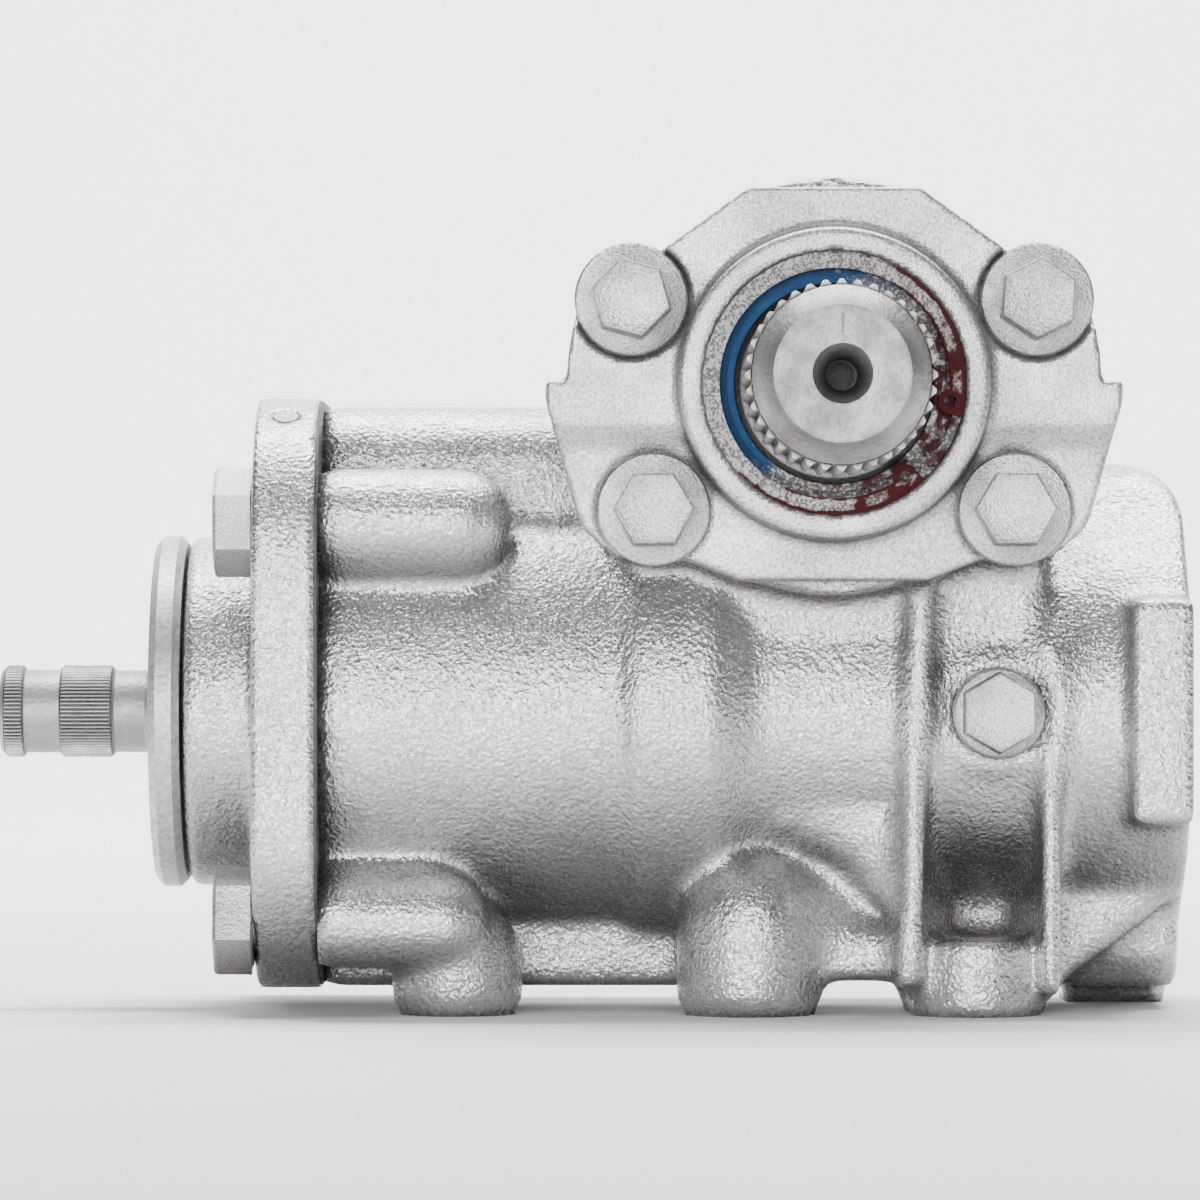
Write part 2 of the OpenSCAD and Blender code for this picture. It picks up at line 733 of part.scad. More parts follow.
// Serrated length with both ends chamfered
module serrated_stub(from, to, front_chamfer, back_chamfer) {
    low_front = input_tip_r - front_chamfer;
    low_back = input_tip_r - back_chamfer;
    intersection() {
        along_x(from, to) serration(input_teeth, input_tip_r, input_root_r);
        turned_x([[0, from], [low_front, from], [input_tip_r + 0.2, from + front_chamfer + 0.2],
                  [input_tip_r + 0.2, to - back_chamfer - 0.2], [low_back, to], [0, to]]);
    }
}

module input_shaft() {
    fillet = 2.5;
    edge = 1.5;
    foot_r = input_neck_r + fillet;
    color(steel) at_worm() difference() {
        union() {
            serrated_stub(tip_x, tip_groove_x, 1.3, 0.6);
            rod_x(tip_groove_x - 1.5, groove_x + 1.5, clamp_groove_r);
            serrated_stub(groove_x, neck_x, 0.6, 1);
            turned_x([[0, neck_x - 1.5], [input_neck_r, neck_x - 1.5], [input_neck_r, disc_front_x - fillet],
                      [input_neck_r + fillet * 0.3, disc_front_x - fillet * 0.3], [foot_r, disc_front_x],
                      [disc_r - edge, disc_front_x], [disc_r, disc_front_x + edge],
                      [disc_r, disc_back_x - edge], [disc_r - edge, disc_back_x], [spool_r, disc_back_x],
                      [spool_r, stub_end_x], [0, stub_end_x]]);
            intersection() {
                rod_x(stub_end_x - 1, stub_end_x + tongue_len, tongue_r);
                span([stub_end_x - 2, -tongue_half, -20], [stub_end_x + tongue_len + 1, tongue_half, 20]);
            }
        }
        rod_x(tip_x - cut, stub_end_x + tongue_len + cut, bar_hole_r);
        for (i = [0 : 5])
            rotate([60 * i, 0, 0])
                span([head_end_x - 9, -1.6, spool_r - 1.2], [head_end_x + 1, 1.6, spool_r + 1]);
        translate([front_pin_x, 0, 0]) rod_z(-input_tip_r - 1, input_tip_r + 1, pin_r);
    }
}

module input_seal() {
    color(seal_black) at_worm() difference() {
        rod_x(seal_x, seal_x + input_seal_len, input_seal_bore_r - press_gap);
        rod_x(seal_x - cut, seal_x + input_seal_len + cut, spool_r + slide_gap);
        tube_x(seal_x + 2, seal_x + input_seal_len + cut, input_seal_bore_r - 1.5, spool_r + 1.2);
    }
}

module torsion_bar() {
    grip = 10;
    color(bright_steel) at_worm() difference() {
        union() {
            rod_x(bar_front_x, bar_rear_x, torsion_r);
            rod_x(bar_front_x, bar_front_x + grip + 8, bar_end_r);
            rod_x(bar_rear_x - grip, bar_rear_x, bar_end_r);
        }
        translate([front_pin_x, 0, 0]) rod_z(-10, 10, pin_r);
        translate([rear_pin_x, 0, 0]) rod_z(-10, 10, pin_r + pin_play);
    }
}

module torsion_pin_front() {
    color(dark_steel) at_worm() translate([front_pin_x, 0, 0])
        rod_z(-clamp_groove_r, clamp_groove_r, pin_r - press_gap);
}

module torsion_pin_rear() {
    color(dark_steel) at_worm() translate([rear_pin_x, 0, 0])
        rod_z(-worm_neck_r + 0.2, worm_neck_r - 0.2, pin_r - press_gap);
}

module valve_sleeve() {
    color(bright_steel) at_worm() difference() {
        tube_x(bearing_x + 0.4, head_bottom_x - 0.2, sleeve_r - press_gap, spool_r + slide_gap);
        for (i = [0 : 5])
            rotate([60 * i + 30, 0, 0])
                span([head_end_x - 7, -1.4, spool_r - 1], [head_end_x - 1, 1.4, sleeve_r + 1]);
    }
}

module worm_shaft() {
    color(steel) at_worm() difference() {
        union() {
            rod_x(bearing_x, head_end_x + 1, worm_head_r);
            rod_x(head_end_x, head_flange_x, head_flange_r);
            rod_x(head_flange_x - 1, worm_start_x + 2, worm_neck_r);
            thread(worm_start_x, worm_end_x, worm_step) worm_section();
        }
        rod_x(bearing_x - cut, head_bottom_x, sleeve_r);
        intersection() {
            rod_x(head_bottom_x - cut, head_floor_x, tongue_r + 0.5);
            span([head_bottom_x - cut, -tongue_slot_half, -20], [head_floor_x, tongue_slot_half, 20]);
        }
        rod_x(head_floor_x - cut, bar_rear_x + 0.5, bar_hole_r);
        translate([rear_pin_x, 0, 0]) rod_z(-20, 20, pin_r);
    }
}

// Worm bearing

module race_groove() {
    translate([bearing_x + bearing_len / 2, 0, 0]) rotate([0, 90, 0])
        rotate_extrude() translate([race_r, 0]) circle(race_ball_r + roll_gap);
}

module bearing_outer_ring() {
    color(bright_steel) at_worm() difference() {
        tube_x(bearing_x + slide_gap, head_end_x, bearing_out_r - press_gap, bearing_mid_out);
        race_groove();
    }
}

module bearing_inner_ring() {
    color(bright_steel) at_worm() difference() {
        tube_x(bearing_x + slide_gap, head_end_x - slide_gap, bearing_mid_in, worm_head_r + press_gap);
        race_groove();
    }
}

module bearing_balls() {
    color(bright_steel) at_worm() for (i = [0 : race_balls - 1])
        rotate([360 * i / race_balls, 0, 0])
            translate([bearing_x + bearing_len / 2, 0, race_r]) sphere(race_ball_r);
}

module bearing_ring_nut() {
    color(dark_steel) at_worm() difference() {
        tube_x(head_end_x + slide_gap, head_end_x + ring_nut_len, bearing_out_r - press_gap,
               head_flange_r + 1.5);
        for (i = [0 : 3])
            rotate([90 * i + 45, 0, 0])
                span([head_end_x + ring_nut_len - 2.5, -2.5, 20], [head_end_x + ring_nut_len + 1, 2.5, 26]);
    }
}

// Ball nut and rack piston

module ball_nut() {
    color(steel) at_worm() difference() {
        rod_x(nut_front_x, nut_rear_x, nut_r - press_gap);
        thread(nut_front_x - cut, nut_rear_x + cut, nut_step) nut_section();
        for (x = [ball_start_x, ball_start_x + ball_turns * worm_lead])
            translate([x, 0, 0]) rod_z(-nut_r - 2, -ball_circle_r, return_bore_r);
    }
}

module nut_retainer() {
    color(dark_steel) at_worm()
        tube_x(-piston_front + 0.3, nut_front_x - slide_gap, nut_r - press_gap, tunnel_r);
}

module recirculating_balls() {
    color(bright_steel) at_worm() for (i = [0 : balls - 1])
        let (t = i / (balls - 1) * ball_turns)
            translate([ball_start_x + t * worm_lead, 0, 0]) rotate([360 * t - 90, 0, 0])
                translate([0, ball_circle_r, 0]) sphere(ball_r);
}

module return_path(r) {
    length = ball_turns * worm_lead;
    bend = return_r + 1;
    translate([ball_start_x, 0, -return_drop]) {
        rod_x(bend, length - bend, r);
        for (x = [0, length])
            translate([x, 0, bend]) rod_z(0, return_drop - nut_r - bend + 2, r);
        translate([bend, 0, bend]) rotate([90, 180, 0]) rotate_extrude(angle = 90)
            translate([bend, 0]) circle(r);
        translate([length - bend, 0, bend]) rotate([90, 90, 0]) rotate_extrude(angle = 90)
            translate([bend, 0]) circle(r);
    }
}

module ball_return_tube() {
    color(bright_steel) at_worm() difference() {
        return_path(return_r);
        return_path(return_bore_r);
        rod_x(nut_front_x - 5, nut_rear_x + 5, nut_r + press_gap);
    }
}

module rack_piston() {
    ring_x = -piston_front + 6;
    slot_end_x = ball_start_x + ball_turns * worm_lead + return_r + 0.7;
    color(steel) at_worm() difference() {
        rod_x(-piston_front, piston_rear, piston_r);
        rod_x(-piston_front - cut, nut_rear_x + 0.2, nut_r);
        rod_x(nut_rear_x - cut, tunnel_end_x, tunnel_r);
        span([-piston_front - cut, -return_r - 0.6, -return_drop - return_r - 0.6],
             [slot_end_x, return_r + 0.6, -nut_r + 4]);
        tube_x(ring_x, ring_x + piston_ring_w + 2 * slide_gap, piston_r + 1, piston_r - 2.5);
        for (k = [-(sector_kept - 1) / 2 : (sector_kept - 1) / 2])
            translate([k * tooth_pitch, 0, 0]) along_y(-piston_r, piston_r) rack_gap();
    }
}

module piston_ring() {
    ring_x = -piston_front + 6 + slide_gap;
    color(seal_black) at_worm()
        tube_x(ring_x, ring_x + piston_ring_w, piston_r + slide_gap / 2, piston_r - 2.3);
}

// Output shaft and its bearings

module sector_shaft() {
    fan = 66;
    half = sector_width / 2;
    color(steel) at_output() difference() {
        union() {
            intersection() {
                along_y(shaft_end_y, land_y + 1) serration(output_teeth, output_tip_r, output_root_r);
                union() {
                    rod_y(nose_y, land_y + 1, output_tip_r + 1);
                    cone_y(shaft_end_y, nose_y, nose_r, output_root_r + 0.2);
                }
            }
            cone_y(land_y, land_y + 2, output_root_r, journal_r);
            rod_y(land_y + 2, shaft_far_y, journal_r);
            along_y(-half, half) {
                intersection() {
                    circle(sector_root_r);
                    polygon([[0, 8], 60 * [sin(fan), -cos(fan)], [0, -90], 60 * [-sin(fan), -cos(fan)]]);
                }
                for (k = [-(sector_kept - 1) / 2 : (sector_kept - 1) / 2])
                    rotate(k * 360 / sector_teeth) sector_tooth();
            }
        }
        cone_y(shaft_end_y - 0.1, shaft_end_y + 4.5, 5.9, 3.1);
        rod_y(shaft_end_y + 3, shaft_end_y + 12, 3.1);
        rod_y(shaft_far_y - socket_depth, shaft_far_y + cut, socket_r);
    }
}

module needle_shell(y, w) {
    tube_y(y, y + w, shell_r, shell_in_r);
}

module needle_rollers(y, w) {
    ring_of(rollers, journal_r + roller_r + roll_gap) rod_y(y + 2, y + w - 2, roller_r);
}

module output_bearing() {
    color(bright_steel) at_output() needle_shell(near_bearing_y, bearing_w);
}

module output_rollers() {
    color(bright_steel) at_output() needle_rollers(near_bearing_y, bearing_w);
}

module inner_bearing() {
    color(bright_steel) at_output() needle_shell(far_bearing_y + 0.2, far_bearing_w);
}

module inner_rollers() {
    color(bright_steel) at_output() needle_rollers(far_bearing_y + 0.2, far_bearing_w);
}

// Sector cover and what it holds

module sector_cover() {
    slope_low = -13;
    slope_high = -8;
    reach = 70;
    o_ring_y = seat_y + 6;
    color(paint_grey) at_output() difference() {
        union() {
            intersection() {
                along_y(seat_y - upper_lug_t - 1, seat_y) cover_outline();
                along_x(-reach, reach)
                    polygon([[seat_y + 1, -reach], [seat_y - lower_lug_t, -reach],
                             [seat_y - lower_lug_t, slope_low], [seat_y - upper_lug_t, slope_high],
                             [seat_y - upper_lug_t, reach], [seat_y + 1, reach]]);
            }
            rod_y(seat_y - 1, spigot_y, spigot_r);
            rod_y(ring_y + 0.8, seat_y, ring_r);
            cone_y(ring_y, ring_y + 0.8, ring_r - 0.8, ring_r);
        }
        for (p = cover_bolt_places())
            translate([p[0], 0, p[1]]) {
                rod_y(ring_y - 2, spot_y, 12);
                rod_y(ring_y - 2, seat_y + cut, 5.4);
            }
        rod_y(ring_y - cut, seal_back_y + 0.2, seal_bore_r);
        rod_y(ring_y, near_bearing_y + bearing_w + 0.2, shell_r + press_gap);
        rod_y(ring_y, spigot_y + cut, journal_r + 0.6);
        rod_y(clip_y, clip_y + clip_t + 0.1, seal_bore_r + 1.3);
        tube_y(o_ring_y, o_ring_y + 4, chamber_r + 1, chamber_r - 3.1);
    }
}

module cover_o_ring() {
    o_r = 1.5;
    color(seal_black) at_output() translate([0, seat_y + 8, 0]) rotate([90, 0, 0])
        rotate_extrude() translate([chamber_r - o_r - press_gap, 0]) circle(o_r);
}

module cover_bolts() {
    turns = [45, 1, 26, 0];
    collar = 2.4;
    head = 7.2;
    places = cover_bolt_places();
    color(bolt_grey) at_output() for (i = [0 : 3])
        translate([places[i][0], spot_y, places[i][1]]) {
            rod_y(-1.2, 0, cover_bolt_flange_r);
            cone_y(-collar - 1, -1.2, cover_bolt_flats / 2, cover_bolt_flange_r);
            rotate([90, 0, 0]) rotate(turns[i]) hex_head(cover_bolt_flats, collar + head);
            rod_y(-1, spot_t + 18, 5 - press_gap);
        }
}

module output_seal() {
    color(seal_blue) at_output() difference() {
        rod_y(seal_front_y, seal_back_y, seal_bore_r - press_gap);
        rod_y(seal_front_y - cut, seal_back_y + cut, journal_r + slide_gap);
        tube_y(seal_front_y - cut, seal_front_y + 1.8, 24.3, 21.4);
        tube_y(seal_front_y + 3, seal_back_y + cut, 24.4, 21.6);
    }
}

module seal_circlip() {
    inner_r = 22.9;
    eye_r = 2.5;
    gap_from = -47;
    gap_to = -15;
    color(dark_steel) at_output() difference() {
        along_y(clip_y + slide_gap, clip_y + clip_t) difference() {
            union() {
                difference() {
                    circle(seal_bore_r + 1.2);
                    circle(inner_r);
                    polygon([[0, 0], 40 * [cos(gap_from), sin(gap_from)], 40 * [cos(gap_to), sin(gap_to)]]);
                }
                for (a = [gap_from - 6, gap_to + 6])
                    rotate(a) translate([inner_r + 0.3, 0]) circle(eye_r);
            }
            for (a = [gap_from - 6, gap_to + 6])
                rotate(a) translate([inner_r + 0.3, 0]) circle(1.2);
        }
    }
}

// Adjuster on the far side

module adjuster_screw() {
    head_y = shaft_far_y - socket_depth + 0.4;
    color(steel) at_output() difference() {
        union() {
            rod_y(head_y, head_y + 4, socket_r - 1);
            rod_y(head_y + 3, screw_end_y, adjuster_r);
        }
        translate([0, screw_end_y, 0]) rotate([-90, 0, 0]) translate([0, 0, -5])
            cylinder(h = 6, r = 3.2, $fn = 6);
    }
}

module adjuster_retainer() {
    color(dark_steel) at_output()
        tube_y(shaft_far_y - socket_depth + 4.8, shaft_far_y - 0.4, socket_r - press_gap, adjuster_r + 0.4);
}

module adjuster_lock_nut() {
    color(bolt_grey) at_output() difference() {
        translate([0, nut_seat_y, 0]) rotate([-90, 0, 0]) hex_head(lock_nut_flats, lock_nut_h);
        rod_y(nut_seat_y - cut, nut_seat_y + lock_nut_h + cut, adjuster_r + press_gap);
    }
}

// Centre plug on the near side

module centre_plug() {
    washer_t = 1.2;
    color(bolt_grey) at_worm() translate([plug_x, plug_face_y - washer_t, 0]) {
        rod_y(-2.4, 0, plug_flange_r);
        rotate([90, 0, 0]) rotate(30) hex_head(plug_flats, 8.5);
        rod_y(-1, 4, 7 - press_gap);
    }
}

module plug_washer() {
    color(copper) at_worm() translate([plug_x, 0, 0])
        tube_y(plug_face_y - 1.2, plug_face_y, plug_flange_r - 0.3, 7 + press_gap);
}

housing();
end_cover();
end_cover_gasket();
end_cover_bolts();
gallery_plug();
input_shaft();
input_seal();
torsion_bar();
torsion_pin_front();
torsion_pin_rear();
valve_sleeve();
worm_shaft();
bearing_outer_ring();
bearing_inner_ring();
bearing_balls();
bearing_ring_nut();
ball_nut();
nut_retainer();
recirculating_balls();
ball_return_tube();
rack_piston();
piston_ring();
sector_shaft();
output_bearing();
output_rollers();
inner_bearing();
inner_rollers();
sector_cover();
cover_o_ring();
cover_bolts();
output_seal();
seal_circlip();
adjuster_screw();
adjuster_retainer();
adjuster_lock_nut();
centre_plug();
plug_washer();
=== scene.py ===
import json
import math
import bmesh
import bpy
from mathutils import Matrix, Vector
from mathutils.bvhtree import BVHTree


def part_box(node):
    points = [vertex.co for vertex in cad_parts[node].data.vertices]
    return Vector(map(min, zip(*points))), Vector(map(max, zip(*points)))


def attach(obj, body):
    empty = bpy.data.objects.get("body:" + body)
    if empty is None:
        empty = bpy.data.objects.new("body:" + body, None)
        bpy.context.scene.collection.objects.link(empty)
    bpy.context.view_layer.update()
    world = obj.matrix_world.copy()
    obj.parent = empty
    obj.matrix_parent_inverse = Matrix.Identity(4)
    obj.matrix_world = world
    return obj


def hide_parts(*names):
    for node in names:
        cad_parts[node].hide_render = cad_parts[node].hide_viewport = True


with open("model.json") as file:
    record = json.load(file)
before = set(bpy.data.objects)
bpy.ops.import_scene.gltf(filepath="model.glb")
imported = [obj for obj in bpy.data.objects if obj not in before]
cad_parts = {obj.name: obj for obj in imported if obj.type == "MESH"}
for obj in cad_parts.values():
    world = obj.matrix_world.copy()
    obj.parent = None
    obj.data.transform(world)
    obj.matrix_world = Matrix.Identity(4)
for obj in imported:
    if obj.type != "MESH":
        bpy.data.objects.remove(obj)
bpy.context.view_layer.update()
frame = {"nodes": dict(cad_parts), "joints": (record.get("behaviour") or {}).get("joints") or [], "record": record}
nodes = frame["nodes"]
slotOf = {s["node"]: s["material_slot"] for s in frame["record"]["subparts"]}
scene = bpy.context.scene
mm = 0.001
weld = 0.01 * mm  # points closer than this are one point
print("frame loaded:", len(nodes), "nodes")

# where the two shafts run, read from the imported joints
joints = {j["name"]: j for j in frame["joints"]}
wormAt = Vector(joints["worm_spin"]["pos_m"])
outputAt = Vector(joints["sector_swing"]["pos_m"])


# one shader value: Python operators on it add Math nodes
class Sock:
    def __init__(self, finish, socket):
        self.finish = finish
        self.socket = socket

    def math(self, operation, a, b=0.0, clamp=False):
        settings = {"operation": operation, "use_clamp": clamp}
        return self.finish.add("ShaderNodeMath", settings, {0: a, 1: b})

    def __add__(self, other): return self.math("ADD", self, other)
    def __radd__(self, other): return self.math("ADD", other, self)
    def __sub__(self, other): return self.math("SUBTRACT", self, other)
    def __rsub__(self, other): return self.math("SUBTRACT", other, self)
    def __mul__(self, other): return self.math("MULTIPLY", self, other)
    def __rmul__(self, other): return self.math("MULTIPLY", other, self)
    def clamped(self): return self.math("ADD", self, 0.0, True)
    def root(self): return self.math("SQRT", self)
    def sine(self): return self.math("SINE", self)

    # 0 below low, 1 above high
    def band(self, low, high):
        return ((self - low) * (1.0 / (high - low))).clamped()


# one material: add() makes any node, feed() links the shader
class Finish:
    def __init__(self, name, **sockets):
        self.material = bpy.data.materials.new(name)
        self.material.use_nodes = True
        self.tree = self.material.node_tree
        self.shader = self.tree.nodes["Principled BSDF"]
        for key, value in sockets.items():
            self.shader.inputs[key.replace("_", " ")].default_value = value
        self.place = self.add("ShaderNodeTexCoord", {}, {}, "Object")

    def add(self, kind, settings, sockets, out=0):
        node = self.tree.nodes.new(kind)
        for key, value in settings.items():
            setattr(node, key, value)
        for key, value in sockets.items():
            if isinstance(value, Sock):
                self.tree.links.new(value.socket, node.inputs[key])
            else:
                node.inputs[key].default_value = value
        return Sock(self, node.outputs[out])

    def noise(self, size, detail=2.0, rough=0.5, twist=0.0):
        sockets = {"Vector": self.place, "Scale": 1.0 / size, "Detail": detail,
                   "Roughness": rough, "Distortion": twist}
        return self.add("ShaderNodeTexNoise", {}, sockets)

    def cells(self, size, feature):
        sockets = {"Vector": self.place, "Scale": 1.0 / size}
        return self.add("ShaderNodeTexVoronoi", {"feature": feature}, sockets)

    def axis(self, name):
        return self.add("ShaderNodeSeparateXYZ", {}, {0: self.place}, name)

    def mix(self, factor, a, b):
        return self.add("ShaderNodeMix", {"data_type": "RGBA"}, {0: factor, 6: a, 7: b}, 2)

    def bump(self, height, strength, distance, under=None):
        sockets = {"Height": height, "Strength": strength, "Distance": distance}
        if under:
            sockets["Normal"] = under
        return self.add("ShaderNodeBump", {}, sockets)

    # painted shade that the ray pass below left on a piece, 0 where it left nothing
    def paintedShade(self):
        return self.add("ShaderNodeAttribute", {"attribute_name": "paintedShade"}, {}, "Fac")

    # distance from a shaft's axis, in metres
    def around(self, at, first, second):
        a = self.axis(first) - at["XYZ".index(first)]
        b = self.axis(second) - at["XYZ".index(second)]
        return (a * a + b * b).root()

    def feed(self, **sockets):
        for key, value in sockets.items():
            self.tree.links.new(value.socket, self.shader.inputs[key.replace("_", " ")])
        return self.material


def grey(level, warm=0.0):
    return (level * (1 + warm), level, level * (1 - warm), 1.0)


# grey(0.08, 0.09) is painted shade for places that are sheltered or face down
castLook = {"light": grey(0.69, 0.006), "dark": grey(0.36, 0.02), "paintedShade": grey(0.08, 0.09),
            "peel": 0.75 * mm, "pebble": 1.1 * mm, "lump": 6 * mm, "patch": 30 * mm,
            "pebbleHigh": 0.5, "lumpHigh": 0.9, "depth": 0.38 * mm, "relief": 0.9,
            "peelBand": (0.32, 0.6), "softBand": (0.3, 0.7),
            "peelShare": 0.6, "patchShare": 0.25, "lumpShare": 0.15,
            "rough": 0.27, "swing": 0.3, "metal": 0.9}


# silver paint on a rough casting: fine peel on pebbles and soft lumps
def castPaint(name, look):
    f = Finish(name, Metallic=look["metal"])
    peel = f.noise(look["peel"], 2.0, 0.5, 0.3)
    pebble = f.cells(look["pebble"], "SMOOTH_F1")
    lump = f.noise(look["lump"], 2.0)
    patch = f.noise(look["patch"], 3.0)
    height = peel - pebble * look["pebbleHigh"] + lump * look["lumpHigh"]
    shade = (peel.band(*look["peelBand"]) * look["peelShare"]
             + patch.band(*look["softBand"]) * look["patchShare"]
             + lump.band(*look["softBand"]) * look["lumpShare"]).clamped()
    # painted shade: the point attribute darkens the paint where a piece is sheltered or faces down
    colour = f.mix(f.paintedShade(), f.mix(shade, look["dark"], look["light"]), look["paintedShade"])
    rough = look["rough"] + (0.5 - peel) * look["swing"]
    normal = f.bump(height, look["relief"], look["depth"])
    return f.feed(Base_Color=colour, Roughness=rough, Normal=normal)


# grey(0.08, 0.09) is painted shade for places that are sheltered or face down
fineLook = {"light": grey(0.65, 0.006), "dark": grey(0.24, 0.015), "paintedShade": grey(0.08, 0.09),
            "grain": 0.6 * mm, "patch": 14 * mm, "depth": 0.34 * mm, "relief": 0.5,
            "grainBand": (0.36, 0.58), "softBand": (0.3, 0.7),
            "grainShare": 0.55, "patchShare": 0.45,
            "rough": 0.36, "swing": 0.2, "metal": 0.85}


# the same paint on smoother metal
def finePaint(name, look):
    f = Finish(name, Metallic=look["metal"])
    grain = f.noise(look["grain"], 2.0, 0.6)
    patch = f.noise(look["patch"], 3.0)
    shade = (grain.band(*look["grainBand"]) * look["grainShare"]
             + patch.band(*look["softBand"]) * look["patchShare"]).clamped()
    # painted shade: the point attribute darkens the paint where a piece is sheltered or faces down
    colour = f.mix(f.paintedShade(), f.mix(shade, look["dark"], look["light"]), look["paintedShade"])
    rough = look["rough"] + (0.5 - patch) * look["swing"]
    normal = f.bump(grain, look["relief"], look["depth"])
    return f.feed(Base_Color=colour, Roughness=rough, Normal=normal)


toothLook = {"patch": 6 * mm, "edge": 0.05 * mm, "ragged": 0.35, "patchShare": 0.7,
             "grainShare": 0.3, "stainBand": (0.42, 0.62), "stained": 0.55,
             "relief": 0.6, "swing": 0.3}
inputLook = {"crest": grey(0.5), "groove": grey(0.04, 0.03), "bare": grey(0.36, 0.01),
             "stain": grey(0.22, 0.03), "rough": 0.46, "metal": 0.82,
             "inner": 8.95 * mm, "low": 9.1 * mm, "high": 9.4 * mm,
             "grain": 0.9 * mm, "depth": 0.25 * mm,
             "disc": (9.6 * mm, 10.2 * mm), "discGrain": 1.1 * mm, "discBand": (0.3, 0.65),
             "discDark": grey(0.36, 0.02), "discLight": grey(0.58, 0.01)}
outputLook = {"crest": grey(0.46), "groove": grey(0.03, 0.03), "bare": grey(0.34, 0.02),
              "stain": grey(0.1, 0.05), "rough": 0.4, "metal": 0.75,
              "inner": 17.25 * mm, "low": 17.4 * mm, "high": 18.2 * mm,
              "grain": 0.8 * mm, "depth": 0.3 * mm,
              "lineSide": (0.15 * mm, 0.4 * mm), "lineFoot": (7.4 * mm, 7.8 * mm),
              "lineTop": (11.4 * mm, 11.9 * mm), "lineShare": 0.75,
              # the shoulder bands and their share are painted shade of a ring groove
              "shoulderIn": (12.4 * mm, 13.6 * mm), "shoulderOut": (14.0 * mm, 16.2 * mm),
              "ringShadeShare": 0.5, "scribeAndShadeColour": grey(0.1, 0.03),
              "holeShadeEdge": (2.6 * mm, 6.4 * mm), "holeShade": grey(0.012),
              # rim is a painted shade colour for the gap between the serrations and the seal
              "gapShadeEdge": (18.5 * mm, 18.9 * mm), "rim": grey(0.05, 0.05),
              "ring": 0.9 * mm, "ringDepth": 0.02 * mm, "ringRelief": 0.2}


# serrated shaft: painted shade low between the teeth, bare metal further in, by distance from its axis
def serratedSteel(f, look, r):
    grain = f.noise(look["grain"], 3.0, 0.6)
    patch = f.noise(toothLook["patch"], 4.0, 0.6)
    ragged = (grain - 0.5) * toothLook["ragged"]
    crest = (r.band(look["low"], look["high"]) + ragged).clamped()
    # painted shade: near black between the teeth
    colour = f.mix(crest, look["groove"], look["crest"])
    toothed = r.band(look["inner"], look["inner"] + toothLook["edge"])
    colour = f.mix(toothed, look["bare"], colour)
    stain = patch * toothLook["patchShare"] + grain * toothLook["grainShare"]
    stain = stain.band(*toothLook["stainBand"]) * toothLook["stained"]
    colour = f.mix(stain, colour, look["stain"])
    rough = look["rough"] + (patch - 0.5) * toothLook["swing"]
    return colour, rough, f.bump(grain, toothLook["relief"], look["depth"])


# input shaft: the forged disc outside the serrations is as rough as the castings
def inputSteel(name, look):
    f = Finish(name, Metallic=look["metal"])
    r = f.around(wormAt, "Y", "Z")
    colour, rough, normal = serratedSteel(f, look, r)
    discGrain = f.noise(look["discGrain"], 3.0).band(*look["discBand"])
    disc = f.mix(discGrain, look["discDark"], look["discLight"])
    colour = f.mix(r.band(*look["disc"]), colour, disc)
    return f.feed(Base_Color=colour, Roughness=rough, Normal=normal)


# output shaft: painted shade in its centre hole, at its outer rim and in a ring groove, faint turning rings and
# one scribed line on its end
def outputSteel(name, look):
    f = Finish(name, Metallic=look["metal"])
    r = f.around(outputAt, "X", "Z")
    colour, rough, normal = serratedSteel(f, look, r)
    across = f.axis("X") - outputAt.x
    up = f.axis("Z") - outputAt.z
    line = (1 - (across * across).root().band(*look["lineSide"])) * up.band(*look["lineFoot"])
    line = line * (1 - up.band(*look["lineTop"]))
    # painted shade of a ring groove next to the shoulder, mixed with the real scribed line
    ringShade = r.band(*look["shoulderIn"]) * (1 - r.band(*look["shoulderOut"]))
    scribeAndShade = line * look["lineShare"] + ringShade * look["ringShadeShare"]
    colour = f.mix(scribeAndShade, colour, look["scribeAndShadeColour"])
    # painted shade: near black in the centre hole, fading out towards its edge
    colour = f.mix(r.band(*look["holeShadeEdge"]), look["holeShade"], colour)
    # painted shade outside the serrations, where the shaft meets the seal
    colour = f.mix(r.band(*look["gapShadeEdge"]), colour, look["rim"])
    turning = (r * (math.tau / look["ring"])).sine()
    normal = f.bump(turning, look["ringRelief"], look["ringDepth"], normal)
    return f.feed(Base_Color=colour, Roughness=rough, Normal=normal)


innerLook = {"deep": grey(0.4), "pale": grey(0.5), "streak": 1.2 * mm, "patch": 12 * mm,
             "streakBand": (0.3, 0.7), "depth": 0.05 * mm, "relief": 0.15,
             "rough": 0.28, "swing": 0.2, "metal": 0.9}


def innerSteel(name, look):
    f = Finish(name, Metallic=look["metal"])
    streak = f.noise(look["streak"], 3.0, 0.6)
    patch = f.noise(look["patch"], 2.0)
    colour = f.mix(streak.band(*look["streakBand"]), look["deep"], look["pale"])
    rough = look["rough"] + patch * look["swing"]
    normal = f.bump(streak, look["relief"], look["depth"])
    return f.feed(Base_Color=colour, Roughness=rough, Normal=normal)


rubberLook = {"deep": grey(0.01), "pale": grey(0.03), "mottle": 3 * mm, "dust": 0.6 * mm,
              "mottleBand": (0.35, 0.7), "depth": 0.08 * mm, "relief": 0.2,
              "rough": 0.38, "swing": 0.25}
fibreLook = {**rubberLook, "deep": grey(0.02, 0.1), "pale": grey(0.06, 0.1)}


def rubber(name, look):
    f = Finish(name)
    mottle = f.noise(look["mottle"], 3.0)
    dust = f.noise(look["dust"], 2.0)
    colour = f.mix(mottle.band(*look["mottleBand"]), look["deep"], look["pale"])
    rough = look["rough"] + dust * look["swing"]
    normal = f.bump(dust, look["relief"], look["depth"])
    return f.feed(Base_Color=colour, Roughness=rough, Normal=normal)


